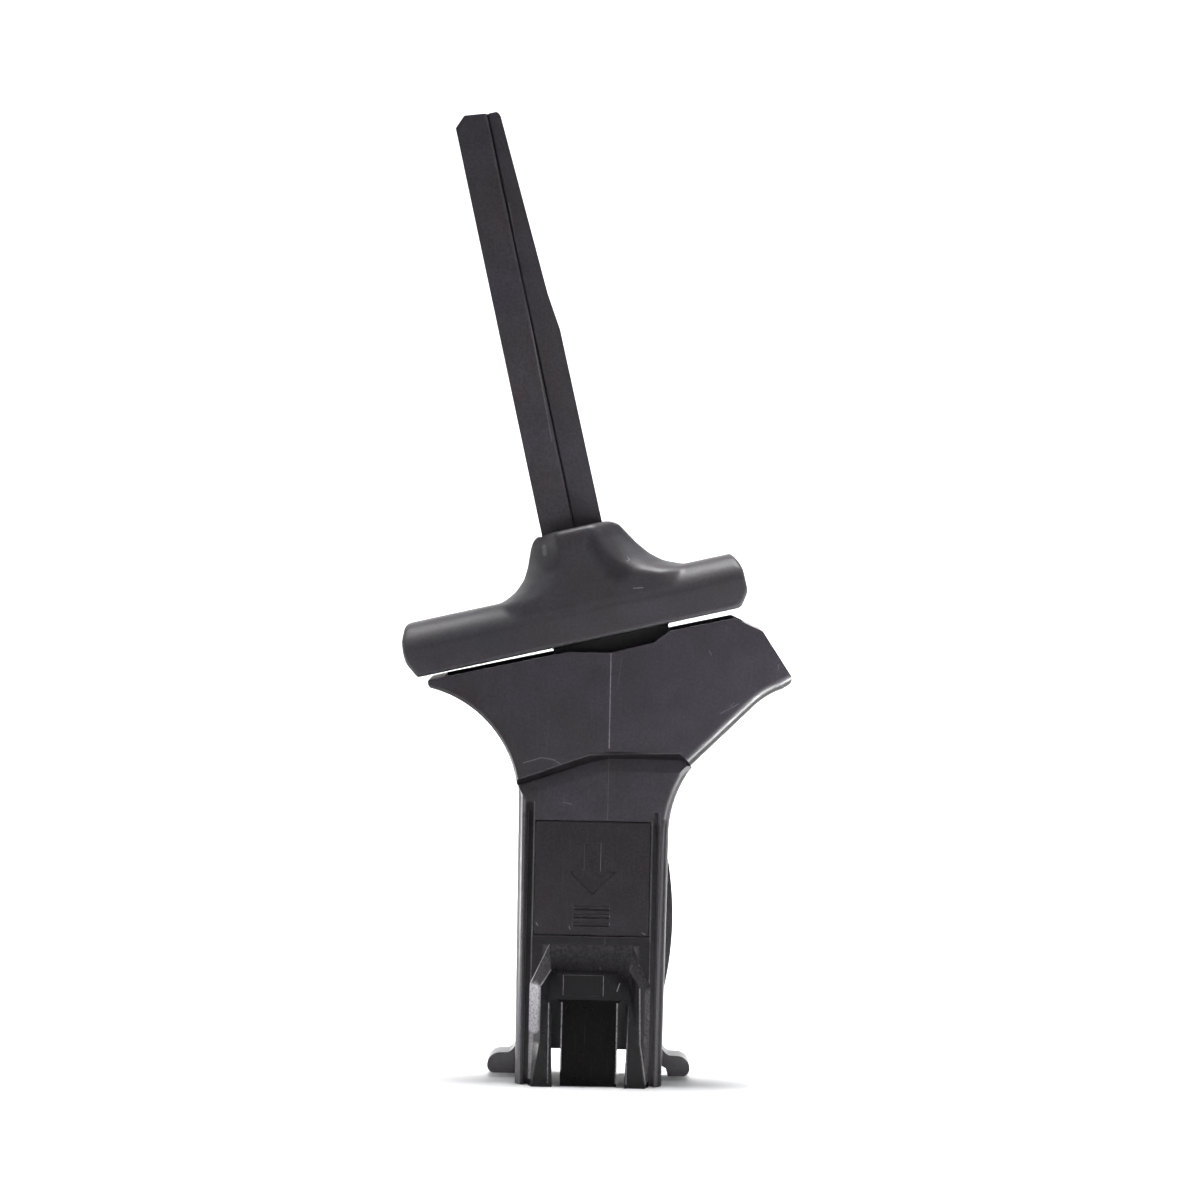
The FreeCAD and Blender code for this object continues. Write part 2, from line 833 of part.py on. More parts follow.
def make_tongue():
    """The springy strip in the hood's window, with a nib that bears on the magazine."""
    body = new_body("mag_tongue")
    half = size("tongue_half")
    fillet = size("window_round")
    top = size("window_top") - "tongue_gap"
    strip = [
        (-half, "tongue_low"),
        (half, "tongue_low"),
        (half, top - fillet, -fillet),
        (half + fillet, top),
        (-half - fillet, top, -fillet),
        (-half, top - fillet),
    ]
    back = size("column_depth") + "hood_out" - "tongue_sink" - "tongue_thick"
    raise_front(body, "strip", strip, back, "tongue_thick")
    nib = rectangle(-size("nib_half"), "nib_half", "nib_low", "nib_high")
    raise_front(body, "nib", nib, back - "nib_out", "nib_out")
    return body


def make_bow():
    """The rib with a bowed outer side that sits in the slot of the right wall."""
    body = new_body("side_bow")
    inner = size("bow_outer") - "bow_root"
    bow = [
        (inner, "bow_low"),
        ("bow_outer", "bow_low", "bow_round"),
        ("bow_outer", "bow_top"),
        (inner, "bow_top"),
    ]
    raise_front(body, "rib", bow, -(size("bow_front") + "bow_wide"), "bow_wide")
    return body


# ---------------------------------------------------------------- plunger


def park(body):
    """Places a plunger part, drawn upright about the foot of the blade, where the plunger is parked."""
    lean = size("lean")
    turn = FreeCAD.Rotation(FreeCAD.Vector(0, -1, 0), lean.number)
    body.Placement = FreeCAD.Placement(FreeCAD.Vector(0, 0, 0), turn)
    body.setExpression("Placement.Rotation.Angle", lean.formula)
    body.setExpression("Placement.Base.x", size("park_x").formula)
    body.setExpression("Placement.Base.z", size("park_z").formula)


def bell_section(level):
    """A rectangle whose corners are arcs, counterclockwise from its lower left."""
    left, right, half_deep, corner, turn = (size(f"bell_{part}_{level}") for part in BELL_PARTS[1:])
    return [
        (corner - left, -half_deep),
        (right - corner, -half_deep, turn),
        (right, corner - half_deep),
        (right, half_deep - corner, turn),
        (right - corner, half_deep),
        (corner - left, half_deep, turn),
        (-left, half_deep - corner),
        (-left, corner - half_deep, turn),
    ]


def arm_section():
    """The T-bar from its end: flat palm, short upright sides and a broadly rounded top."""
    side = size("grip_depth")
    flat = size("arm_flat")
    return [
        (-side, "palm"),
        (side, "palm"),
        (side, "arm_side", "arm_round"),
        (flat, "arm_high"),
        (-flat, "arm_high", "arm_round"),
        (-side, "arm_side"),
    ]


def arm_end(low, high, palm):
    """What is cut off past the rounded right end of the T-bar, from where the end meets the palm."""
    below = size("palm") - "over"
    above = size("arm_high") + "over"
    return [
        (palm, below),
        (palm, "palm"),
        (low, "arm_low", "arm_end_round"),
        (high, above),
        (THROUGH, above),
        (THROUGH, below),
    ]


def make_grip():
    """The hollow T-handle, open below for the palm cap and above for the blade."""
    body = new_body("grip_shell")
    bar = new_sketch(body, "bar_sketch", "YZ_Plane")
    outline(bar, arm_section())
    extrude(body, "Pad", "bar", bar, size("arm_right") * 2, both=True)
    for side, name in ((-1, "left"), (1, "right")):
        end = arm_end(f"arm_{name}", f"arm_top_{name}", f"palm_{name}")
        slab(body, "Pocket", f"{name}_end", mirrored(end, side), THROUGH)
    sections = []
    for level in range(1, len(BELL) + 1):
        section = new_sketch(body, f"bell_{level}", "XY_Plane", f"bell_height_{level}")
        outline(section, bell_section(level))
        sections.append(section)
    loft(body, "AdditiveLoft", "bell", sections)
    palm = size("palm")
    bore(body, "cap_seat", "recess_half", "recess_depth", palm - "over", size("recess_high") + "over")
    pocket = new_sketch(body, "flange_pocket_sketch", "XY_Plane", palm)
    outline(pocket, rectangle(-size("pocket_left"), "pocket_right", -size("pocket_depth"), "pocket_depth"))
    extrude(body, "Pocket", "flange_pocket", pocket, size("pocket_high") - palm, back=True)
    slack = size("blade_slack")
    for name, right, half in (("rib", "rib_right", "rib_half"), ("web", "blade_right", "web_half")):
        half = size(half) + slack
        hole = new_sketch(body, f"{name}_hole_sketch", "XY_Plane", palm)
        outline(hole, rectangle(-size("blade_left") - slack, size(right) + slack, -half, half))
        extrude(body, "Pocket", f"{name}_hole", hole, 2 * THROUGH, back=True)
    park(body)
    return body


def make_cap():
    """The palm cap: a plate in the handle's mouth, a boss that holds the blade, and the parking plug."""
    body = new_body("palm_cap")
    gap = size("cap_gap")
    palm = size("palm")
    half = size("recess_half") - gap
    deep = size("recess_depth") - gap
    plate = new_sketch(body, "plate_sketch", "XY_Plane", palm)
    outline(plate, rectangle(-half, half, -deep, deep))
    extrude(body, "Pad", "plate", plate, "cap_thick")
    boss_half = size("pocket_depth") - gap
    boss = new_sketch(body, "boss_sketch", "XY_Plane", palm)
    outline(boss, rectangle(-size("pocket_left") + gap, size("pocket_right") - gap, -boss_half, boss_half))
    extrude(body, "Pad", "boss", boss, size("flange_high") - palm - gap / 2)
    corner = size("plug_round")
    left = -size("plug_left")
    right = size("plug_right")
    low = palm - "plug_long"
    plug = [
        (left, palm + "cap_thick"),
        (left, low + corner, corner),
        (left + corner, low),
        (right - corner, low, corner),
        (right, low + corner),
        (right, palm + "cap_thick"),
    ]
    slab(body, "Pad", "plug", plug, "plug_depth")
    park(body)
    return body


def rib_right_edge(edge):
    """True for the two long edges on the rib's right, where the web joins it."""
    long = edge.Length > size("blade_kink_z").number
    return on_depth(edge, size("rib_half").number) and long and middle_of(edge).x > 0


def make_blade():
    """The pushing blade: a thick rib, a thin web beside it, and the flange held in the handle."""
    body = new_body("plunger_blade")
    foot = size("flange_high")
    tip_z = size("blade_tip_z")
    rib_tip = tip_z - "blade_tip_drop"
    rib = [
        (-size("blade_left"), foot),
        ("rib_right", foot),
        ("rib_right", "hub_top"),
        ("blade_end_step", rib_tip),
        (-size("blade_tip_left"), tip_z),
        (-size("blade_end_left"), "blade_end_z"),
        (-size("blade_left"), "hub_top"),
    ]
    slab(body, "Pad", "rib", rib, "rib_half")
    round_edges(body, "rib_edges", "rib_round", rib_right_edge)
    web = [
        (0, foot),
        ("blade_right", foot),
        ("blade_right", "hub_top"),
        ("blade_kink_x", "blade_kink_z"),
        ("blade_neck_x", "blade_neck_z"),
        ("blade_end_right", "blade_end_z", "blade_tip_round"),
        ("blade_tip_right", rib_tip),
        (0, rib_tip),
    ]
    slab(body, "Pad", "web", web, "web_half")
    wide = size("blade_groove")
    groove = [
        (size("rib_right"), "hub_top"),
        (size("rib_right") + wide, "hub_top"),
        (size("blade_end_step") + wide, tip_z + "over"),
        (size("blade_end_step"), tip_z + "over"),
    ]
    sink_front(body, "front_groove", groove, "web_half", "blade_groove_deep")
    sink_back(body, "back_groove", groove, "web_half", "blade_groove_deep")
    inset = size("cap_gap") * 2
    half = size("pocket_depth") - inset
    flange = new_sketch(body, "flange_sketch", "XY_Plane", foot)
    outline(flange, rectangle(-size("pocket_left") + inset, size("pocket_right") - inset, -half, half))
    extrude(body, "Pad", "flange", flange, "flange_thick")
    park(body)
    return body


# ---------------------------------------------------------------- checks and export


def check(bodies):
    """Stops if anything failed to build, or if a pocket removed nothing."""
    for thing in doc.Objects:
        if "Invalid" in thing.State or "Error" in thing.State:
            raise RuntimeError(f"{thing.Name} did not build: {thing.State}")
        if thing.isDerivedFrom("PartDesign::Pocket"):
            before = thing.BaseFeature.Shape.Volume
            if thing.Shape.Volume > before - LEAST_CUT:
                raise RuntimeError(f"{thing.Name} cuts nothing")
    for body in bodies:
        if body.Shape.isNull() or not body.Shape.isValid() or len(body.Shape.Solids) != 1:
            raise RuntimeError(f"{body.Label} is not one valid solid")


def main():
    fill_sheet()
    bodies = [
        make_half("body_left_half", -1),
        make_half("body_right_half", 1),
        make_panel(),
        make_hood(),
        make_tongue(),
        make_bow(),
        make_grip(),
        make_cap(),
        make_blade(),
    ]
    doc.recompute()
    check(bodies)
    os.makedirs("parts", exist_ok=True)
    for body in bodies:
        body.Shape.exportStep(f"parts/{body.Label}.step")
        box = body.Shape.optimalBoundingBox()
        spans = " x ".join(f"{span:.1f}" for span in (box.XLength, box.YLength, box.ZLength))
        print(f"{body.Label}: {body.Shape.Volume:.0f} mm3, {spans} mm")


main()
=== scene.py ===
import json
import math

import bpy
from mathutils import Matrix, Vector

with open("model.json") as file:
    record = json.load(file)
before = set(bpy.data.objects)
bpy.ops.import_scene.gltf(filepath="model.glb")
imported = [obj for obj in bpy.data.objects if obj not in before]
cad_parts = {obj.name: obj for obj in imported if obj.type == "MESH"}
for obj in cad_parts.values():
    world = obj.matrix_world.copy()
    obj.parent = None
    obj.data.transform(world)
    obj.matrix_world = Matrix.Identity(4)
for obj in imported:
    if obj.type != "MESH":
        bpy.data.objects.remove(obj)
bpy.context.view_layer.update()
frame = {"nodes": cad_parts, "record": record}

MM = 0.001


# ---------------------------------------------------------------- looks

# The colours of scraped or stress-whitened plastic, which also serves for painted highlights, of the dust on
# ledges, and of the painted shade in grooves and recesses.
SCRAPED_AND_HIGHLIGHT = (0.20, 0.19, 0.21)
DUST = (0.11, 0.105, 0.115)
SHADE_BLACK = (0.0015, 0.0013, 0.0015)

# How a plastic's colour changes: each pair multiplies the colour and adds to it. The underside pair is
# painted shade on faces that look down; the others are the plastic's own tone.
LIGHTER = (1.25, 0.001)
SPECKLED = (0.3, 0)
RUBBED = (1, 0.02)
UNDERSIDE_SHADE = (0.12, 0)
WARM_TINT = (1.12, 1, 0.9)

# Patterns: size in millimetres, octaves of detail, and the noise values where each starts and is full.
PATTERNS = {
    "drift": (22, 2, 0.35, 0.65),
    "mottle": (7, 5, 0.4, 0.75),
    "speckle": (0.55, 3, 0.35, 0.7),
    "flecks": (0.45, 2, 0.74, 0.8),
    "broken": (0.4, 4, 0.3, 0.6),
    "sheen": (4, 1, 0.3, 0.7),
    "floor": (300, 2, 0.3, 0.7),
}
SPECKLE_STRENGTH = 0.55
FLECK_STRENGTH = 0.35
BROKEN_LEAST = 0.4
SHEEN_RANGE = (-0.01, 0.04)
UNDERSIDE_SHADE_DULLNESS = 0.4

# Rubbed streaks run upright: how often the noise repeats in a metre, and the values where it shows.
STREAKS_IN_A_METRE = (2600, 2600, 120)
STREAK_DETAIL = 5
STREAK_SHOWS = (0.6, 0.82)

# Dust: size in millimetres and octaves of detail.
DUST_GRAIN = (0.6, 4)

# Reliefs: size in millimetres, octaves of detail, and depth in millimetres.
RELIEFS = {
    "swell": (3.2, 1, 0.06),
    "leather": (0.6, 3, 0.03),
    "fine": (0.16, 2, 0.012),
}

# The slopes of the surface normal between which dust, the painted underside shade and front marks go from
# none to full.
DUSTY_SLOPE = (0.1, 0.35)
UNDERSIDE_SHADE_SLOPE = (-0.2, -0.45)
FRONT_SLOPE = (-0.1, -0.3)

# Lines drawn in the materials, seen from the front: points (across, up) in millimetres, width, strength. The
# pale lists hold scratches, the seam's flash and painted highlights along lit edges and steps; the dark
# lists are painted shade in grooves, recesses and along edges.
# Pale body lines: the seam's flash and small scratches, and painted highlights along the step under the
# hopper and along the column's edges and grooves.
BODY_MARKS_AND_HIGHLIGHTS = [
    ([(3.3, 101), (3.3, 79)], 0.30, 0.8),
    ([(3.3, 77), (3.3, 33)], 0.16, 0.25),
    ([(5.9, 100.6), (4.9, 92.5)], 0.14, 0.22),
    ([(-16.6, 75.2), (-12.4, 76.5), (-9.6, 76.1), (-7.6, 74.9)], 0.35, 0.35),
    ([(29.0, 87.6), (33.3, 90.0)], 0.22, 0.4),
    ([(32.2, 90.3), (31.2, 89.2)], 0.2, 0.35),
    ([(26.0, 102.2), (26.6, 101.2)], 0.25, 0.35),
    ([(42.3, 99.3), (42.2, 98.0)], 0.25, 0.4),
    ([(-7.1, 66.0), (-5.2, 65.6)], 0.25, 0.4),
    ([(-18.6, 71.0), (-1.2, 77.35), (19.6, 78.1), (22.2, 75.6)], 0.3, 0.3),
    ([(-16.1, 66.5), (-16.1, 0)], 0.5, 0.3),
    ([(-13.8, 66), (-13.8, 24)], 0.3, 0.4),
    ([(15.6, 64), (15.6, 0)], 0.4, 0.15),
    ([(13.8, 62), (13.8, 24)], 0.25, 0.3),
]
# Painted shade: dark lines in the column's grooves and beside its edges, and dark patches in the recess
# under the panel, above the hood.
BODY_PAINTED_SHADE = [
    ([(-14.8, 65), (-14.8, 0)], 2.6, 0.6),
    ([(-15.9, 63), (-15.9, 0)], 1.6, 0.5),
    ([(14.6, 60), (14.6, 0)], 3.2, 0.35),
    ([(16.6, 62), (16.6, 0)], 1.3, 0.6),
    ([(-12.6, 33.4), (-12.6, 26)], 4.5, 0.6),
    ([(12.6, 33.4), (12.6, 26)], 4.5, 0.6),
    ([(-12, 33.8), (12, 33.8)], 3.2, 0.6),
]
# Pale grip lines: small scratches, and a painted highlight spot on the hub's upper left.
GRIP_MARKS_AND_HIGHLIGHT = [
    ([(8.2, 116.3), (10.4, 116.5)], 0.28, 0.7),
    ([(-12.9, 125.4), (-12.7, 123.8)], 1.3, 0.3),
    ([(6.6, 123.6), (7.2, 123.0), (6.5, 122.5)], 0.25, 0.45),
    ([(-44.2, 94.2), (-42.6, 92.2)], 0.5, 0.35),
]
# Painted shade: soft dark patches on the hub's flanks, where the shape turns away from the light.
GRIP_PAINTED_SHADE = [
    ([(-12.4, 126), (-11.9, 122)], 6.5, 0.3),
    ([(0.8, 126.5), (4.2, 121)], 8.5, 0.3),
]
# Pale panel lines: small scratches, and a painted highlight along the panel's left edge.
PANEL_MARKS_AND_HIGHLIGHT = [
    ([(-12.9, 37.9), (-12.5, 37.2)], 0.3, 0.7),
    ([(-5.2, 37.2), (-4.9, 36.4)], 0.25, 0.5),
    ([(11.9, 35.9), (12.6, 35.5)], 0.3, 0.6),
    ([(-13.35, 61), (-13.35, 36)], 0.2, 0.3),
]
# Painted shade: dark lines along the panel's top and bottom edges.
PANEL_EDGE_SHADE = [
    ([(-13.5, 61.6), (13.5, 61.6)], 0.5, 0.95),
    ([(-13.5, 35.1), (13.5, 35.1)], 0.5, 0.95),
]
# A painted highlight: a pale line down the blade, along the rib's lit edge.
BLADE_PAINTED_HIGHLIGHT = [
    ([(-22.9, 205.8), (-11.6, 150.2)], 0.3, 0.35),
]
# Pale hood lines: painted highlights on the lit left facet and along the slot and facet edges, and a band of
# dust on the right facet.
HOOD_HIGHLIGHTS_AND_DUST = [
    ([(-9.75, 32.8), (-14.0, 23.7)], 0.4, 0.9),
    ([(-13.0, 22.8), (-13.1, 13.5)], 3.4, 0.9),
    ([(-13.4, 13), (-13.9, 2)], 1.4, 0.5),
    ([(-9.15, 27.2), (-11.4, 23.6)], 0.35, 0.7),
    ([(-6.2, 26), (-6.2, 21.4)], 0.25, 0.6),
    ([(3.1, 26), (3.1, 21.4)], 0.25, 0.6),
    ([(-6.2, 26.1), (3.1, 26.1)], 0.2, 0.25),
    ([(-9.5, 19.5), (-9.4, 1)], 0.35, 0.7),
    ([(8.9, 19.5), (8.8, 1)], 0.35, 0.7),
    ([(6.9, 24.4), (6.3, 22.6)], 0.35, 0.6),
    ([(11.6, 23.2), (11.9, 10.4), (13.4, 1)], 0.4, 0.7),
    ([(13.5, 22), (13.6, 2)], 2.0, 0.2),
]
# Painted highlights along the tongue's two side edges.
TONGUE_EDGE_HIGHLIGHTS = [
    ([(-6.45, 19.5), (-6.45, 4)], 0.4, 1),
    ([(6.45, 19.5), (6.45, 1)], 0.45, 1),
]

PLASTICS = {
    "body_plastic": {
        "colour": (0.025, 0.022, 0.030), "roughness": 0.32,
        "scratches_and_highlights": BODY_MARKS_AND_HIGHLIGHTS, "painted_shade_lines": BODY_PAINTED_SHADE, "dull_painted_shade": True,
    },
    "panel_plastic": {
        "colour": (0.019, 0.016, 0.021), "roughness": 0.38, "gloss": 0.22,
        "scratches_and_highlights": PANEL_MARKS_AND_HIGHLIGHT, "painted_shade_lines": PANEL_EDGE_SHADE,
    },
    "hood_plastic": {
        "colour": (0.003, 0.0025, 0.0035), "roughness": 0.24, "gloss": 0.18,
        "grain": 0.2, "streaks": 0.3, "waves": 0.05, "dust": 0.6, "scratches_and_highlights": HOOD_HIGHLIGHTS_AND_DUST,
    },
    "grip_plastic": {
        "colour": (0.021, 0.019, 0.026), "roughness": 0.5, "grain": 0.6, "streaks": 0.3,
        "scratches_and_highlights": GRIP_MARKS_AND_HIGHLIGHT, "painted_shade_lines": GRIP_PAINTED_SHADE, "dull_painted_shade": True,
    },
    "blade_plastic": {
        "colour": (0.036, 0.032, 0.041), "roughness": 0.40, "streaks": 0.4, "scratches_and_highlights": BLADE_PAINTED_HIGHLIGHT,
    },
    "tongue_plastic": {
        "colour": (0.002, 0.0017, 0.002), "roughness": 0.16, "gloss": 0.05,
        "grain": 0.2, "streaks": 0.3, "waves": 0.05, "scratches_and_highlights": TONGUE_EDGE_HIGHLIGHTS,
    },
    "cap_plastic": {
        "colour": (0.005, 0.0045, 0.006), "roughness": 0.35, "gloss": 0.3, "grain": 0.4, "streaks": 0.4,
    },
}
# Nodes that look darker than the slot they belong to.
OWN_PLASTIC = {"mag_tongue": "tongue_plastic", "palm_cap": "cap_plastic"}

FLOOR_WHITES = ((0.9, 0.9, 0.9), (0.92, 0.92, 0.92))
FLOOR_ROUGHNESS = 0.9


# ---------------------------------------------------------------- materials


class Graph:
    """A small builder for one material's node tree."""

    def __init__(self, name):
        self.material = bpy.data.materials.new(name)
        self.material.use_nodes = True
        self.nodes = self.material.node_tree.nodes
        self.links = self.material.node_tree.links
        self.shader = self.nodes["Principled BSDF"]
        coordinates = self.nodes.new("ShaderNodeTexCoord")
        self.place = coordinates.outputs["Object"]
        self.facing = coordinates.outputs["Normal"]

    def link(self, source, target):
        self.links.new(source, target)

    def stretched(self, scale):
        """Object coordinates multiplied by scale, to stretch a pattern along an axis."""
        mapping = self.nodes.new("ShaderNodeMapping")
        mapping.inputs["Scale"].default_value = scale
        self.link(self.place, mapping.inputs["Vector"])
        return mapping.outputs["Vector"]

    def noise(self, size, detail, where=None):
        """A noise whose blobs are about size across, in the units of where or else in metres."""
        noise = self.nodes.new("ShaderNodeTexNoise")
        noise.inputs["Scale"].default_value = 1 / size
        noise.inputs["Detail"].default_value = detail
        self.link(where or self.place, noise.inputs["Vector"])
        return noise.outputs["Fac"]

    def remap(self, value, low, high, to_low, to_high):
        node = self.nodes.new("ShaderNodeMapRange")
        node.inputs["From Min"].default_value = low
        node.inputs["From Max"].default_value = high
        node.inputs["To Min"].default_value = to_low
        node.inputs["To Max"].default_value = to_high
        self.link(value, node.inputs["Value"])
        return node.outputs["Result"]

    def pattern(self, name, least, most):
        """One of PATTERNS, with values from least to most."""
        size, detail, starts, full = PATTERNS[name]
        return self.remap(self.noise(size * MM, detail), starts, full, least, most)

    def mix(self, factor, first, second):
        """A colour mix; first and second are colours or outputs."""
        node = self.nodes.new("ShaderNodeMix")
        node.data_type = "RGBA"
        self.link(factor, node.inputs["Factor"])
        for value, socket in ((first, node.inputs["A"]), (second, node.inputs["B"])):
            if isinstance(value, tuple):
                socket.default_value = (*value, 1)
            else:
                self.link(value, socket)
        return node.outputs["Result"]

    def math(self, operation, first, second, clamp=False):
        """A Math node; first and second are numbers or outputs."""
        node = self.nodes.new("ShaderNodeMath")
        node.operation = operation
        node.use_clamp = clamp
        for value, socket in ((first, node.inputs[0]), (second, node.inputs[1])):
            if isinstance(value, (int, float)):
                socket.default_value = value
            else:
                self.link(value, socket)
        return node.outputs["Value"]

    def axes(self, vector):
        """A vector's parts across (x), back (y) and up (z)."""
        split = self.nodes.new("ShaderNodeSeparateXYZ")
        self.link(vector, split.inputs["Vector"])
        return split.outputs["X"], split.outputs["Y"], split.outputs["Z"]

    def near_line(self, start, end, width):
        """A mask that is 1 on the line from start to end, as seen from the front, and fades beside it."""
        across, _, up = self.axes(self.place)
        along = Vector(end) - Vector(start)
        from_start = (self.math("SUBTRACT", across, start[0]), self.math("SUBTRACT", up, start[1]))
        parts = []
        for part, step in zip(from_start, along):
            parts.append(self.math("MULTIPLY", part, step / along.length_squared))
        share = self.math("ADD", *parts, clamp=True)
        squares = []
        for part, step in zip(from_start, along):
            offset = self.math("SUBTRACT", part, self.math("MULTIPLY", share, step))
            squares.append(self.math("MULTIPLY", offset, offset))
        distance = self.math("SQRT", self.math("ADD", *squares), 0)
        return self.remap(distance, width / 4, width / 2, 1, 0)

    def near_lines(self, lines):
        """A mask for lines on faces to the front: points (across, up) in millimetres, width and strength."""
        _, backward, _ = self.axes(self.facing)
        total = 0
        for points, width, strength in lines:
            for start, end in zip(points, points[1:]):
                start_place, end_place = ([part * MM for part in point] for point in (start, end))
                mask = self.near_line(start_place, end_place, width * MM)
                total = self.math("MAXIMUM", total, self.math("MULTIPLY", mask, strength))
        return self.math("MULTIPLY", total, self.remap(backward, *FRONT_SLOPE, 0, 1))

    def relief(self, name, strength, below=None):
        """A bump from one of RELIEFS, on top of the relief below it."""
        size, detail, depth = RELIEFS[name]
        node = self.nodes.new("ShaderNodeBump")
        node.inputs["Distance"].default_value = depth * MM
        node.inputs["Strength"].default_value = strength
        self.link(self.noise(size * MM, detail), node.inputs["Height"])
        if below:
            self.link(below, node.inputs["Normal"])
        return node.outputs["Normal"]


def changed(colour, factor, added):
    return tuple(channel * factor + added for channel in colour)


def plastic(name, colour, roughness, gloss=0.5, grain=0.5, streaks=0.5, waves=0.15, dust=0.2,
            scratches_and_highlights=(), painted_shade_lines=(), dull_painted_shade=False):
    """Black moulded plastic: eroded-mould grain, faint flow mottling, fine rubbed streaks, and scratches.

    The pale lines are scratches, worn lines and painted highlights along lit edges, and the dark lines are
    painted shade in grooves, recesses and along edges. Dust lies on faces that look up, and faces that look
    down get painted shade. The dark lines and undersides can also lose gloss, as more painted shade. An
    export that can't keep varying gloss falls back to 0.5, so only materials with a gloss of 0.5 use it.
    """
    graph = Graph(name)
    shader = graph.shader
    warm = tuple(channel * tint for channel, tint in zip(colour, WARM_TINT))
    base = graph.mix(graph.pattern("drift", 0, 1), colour, warm)
    base = graph.mix(graph.pattern("mottle", 0, 1), base, changed(colour, *LIGHTER))
    base = graph.mix(graph.pattern("speckle", 0, SPECKLE_STRENGTH), base, changed(colour, *SPECKLED))
    rubbed = graph.noise(1, STREAK_DETAIL, graph.stretched(STREAKS_IN_A_METRE))
    base = graph.mix(graph.remap(rubbed, *STREAK_SHOWS, 0, streaks), base, changed(colour, *RUBBED))
    base = graph.mix(graph.pattern("flecks", 0, FLECK_STRENGTH * streaks), base, SCRAPED_AND_HIGHLIGHT)

    _, _, upward = graph.axes(graph.facing)
    dust_size, dust_detail = DUST_GRAIN
    dust_grain = graph.noise(dust_size * MM, dust_detail)
    settled = graph.math("MULTIPLY", graph.remap(upward, *DUSTY_SLOPE, 0, dust), dust_grain)
    base = graph.mix(settled, base, DUST)
    # Painted shade: faces that look down are darkened, and below they also lose some gloss.
    underside_shade = graph.remap(upward, *UNDERSIDE_SHADE_SLOPE, 0, 1)
    base = graph.mix(underside_shade, base, changed(colour, *UNDERSIDE_SHADE))

    shader.inputs["Specular IOR Level"].default_value = gloss
    # Painted shade: the dark lines darken the colour, and on the dulled materials they take the gloss off
    # too.
    if painted_shade_lines:
        shade_lines_mask = graph.near_lines(painted_shade_lines)
        base = graph.mix(shade_lines_mask, base, SHADE_BLACK)
        if dull_painted_shade:
            dull = graph.math("MAXIMUM", shade_lines_mask, graph.math("MULTIPLY", underside_shade, UNDERSIDE_SHADE_DULLNESS))
            shine = graph.math("MULTIPLY", graph.math("SUBTRACT", 1, dull), gloss)
            graph.link(shine, shader.inputs["Specular IOR Level"])
    # The pale lines are scratches and painted highlights.
    if scratches_and_highlights:
        scratch_and_highlight_mask = graph.math("MULTIPLY", graph.near_lines(scratches_and_highlights), graph.pattern("broken", BROKEN_LEAST, 1))
        base = graph.mix(scratch_and_highlight_mask, base, SCRAPED_AND_HIGHLIGHT)
    graph.link(base, shader.inputs["Base Color"])

    sheen_low, sheen_high = (roughness + change for change in SHEEN_RANGE)
    graph.link(graph.pattern("sheen", sheen_low, sheen_high), shader.inputs["Roughness"])
    swell = graph.relief("swell", waves)
    leather = graph.relief("leather", grain, swell)
    graph.link(graph.relief("fine", grain, leather), shader.inputs["Normal"])
    return graph.material


def backdrop_white():
    graph = Graph("white_sweep")
    graph.link(graph.mix(graph.pattern("floor", 0, 1), *FLOOR_WHITES), graph.shader.inputs["Base Color"])
    graph.shader.inputs["Roughness"].default_value = FLOOR_ROUGHNESS
    return graph.material


# ---------------------------------------------------------------- CAD nodes

# How wide the rounding of each node's sharp edges is, in millimetres.
EDGE_WIDTHS = {
    "body_left_half": 0.25,
    "body_right_half": 0.25,
    "front_panel": 0.15,
    "side_bow": 0.15,
    "mag_tongue": 0.15,
    "magwell_hood": 0.4,
    "plunger_blade": 0.4,
    "palm_cap": 0.5,
}
WELD_DISTANCE = 0.002 * MM
FLAT_ANGLE = math.radians(0.4)
SHARP_ANGLE = math.radians(28)
BEVEL_SEGMENTS = 3
LARGE_FACE_WEIGHT = 80

MELT_VOXEL = 0.5 * MM
MELT_FACTOR = 0.5
MELT_PASSES = 12


def soften(node, width):
    """Rounds a CAD node's sharp edges with modifiers, leaving its mesh as it is."""
    weld = node.modifiers.new("weld", "WELD")
    weld.merge_threshold = WELD_DISTANCE
    flat = node.modifiers.new("flat", "DECIMATE")
    flat.decimate_type = "DISSOLVE"
    flat.angle_limit = FLAT_ANGLE
    bevel = node.modifiers.new("bevel", "BEVEL")
    bevel.width = width
    bevel.segments = BEVEL_SEGMENTS
    bevel.limit_method = "ANGLE"
    bevel.angle_limit = SHARP_ANGLE
    bevel.harden_normals = True
    bevel.use_clamp_overlap = True
    even = node.modifiers.new("even", "WEIGHTED_NORMAL")
    even.weight = LARGE_FACE_WEIGHT
    node.data.shade_smooth()


def melt(node):
    """Blends all of a CAD node's creases, for a shape that flows like the handle."""
    remesh = node.modifiers.new("remesh", "REMESH")
    remesh.mode = "VOXEL"
    remesh.voxel_size = MELT_VOXEL
    remesh.use_smooth_shade = True
    smooth = node.modifiers.new("smooth", "SMOOTH")
    smooth.factor = MELT_FACTOR
    smooth.iterations = MELT_PASSES


def dress_nodes():
    materials = {name: plastic(name, **look) for name, look in PLASTICS.items()}
    slots = {entry["node"]: entry["material_slot"] for entry in frame["record"]["subparts"]}
    for name, node in frame["nodes"].items():
        node.data.materials.clear()
        node.data.materials.append(materials[OWN_PLASTIC.get(name, slots[name])])
    for name, width in EDGE_WIDTHS.items():
        soften(frame["nodes"][name], width * MM)
    melt(frame["nodes"]["grip_shell"])


# ---------------------------------------------------------------- stage, light and camera

# The sweep, in metres.
SWEEP_HALF_WIDTH = 7.0
SWEEP_FRONT = -4.0
SWEEP_BACK = 1.6
SWEEP_HEIGHT = 4.0
SWEEP_BEND = 0.5
SWEEP_BEND_STEPS = 12

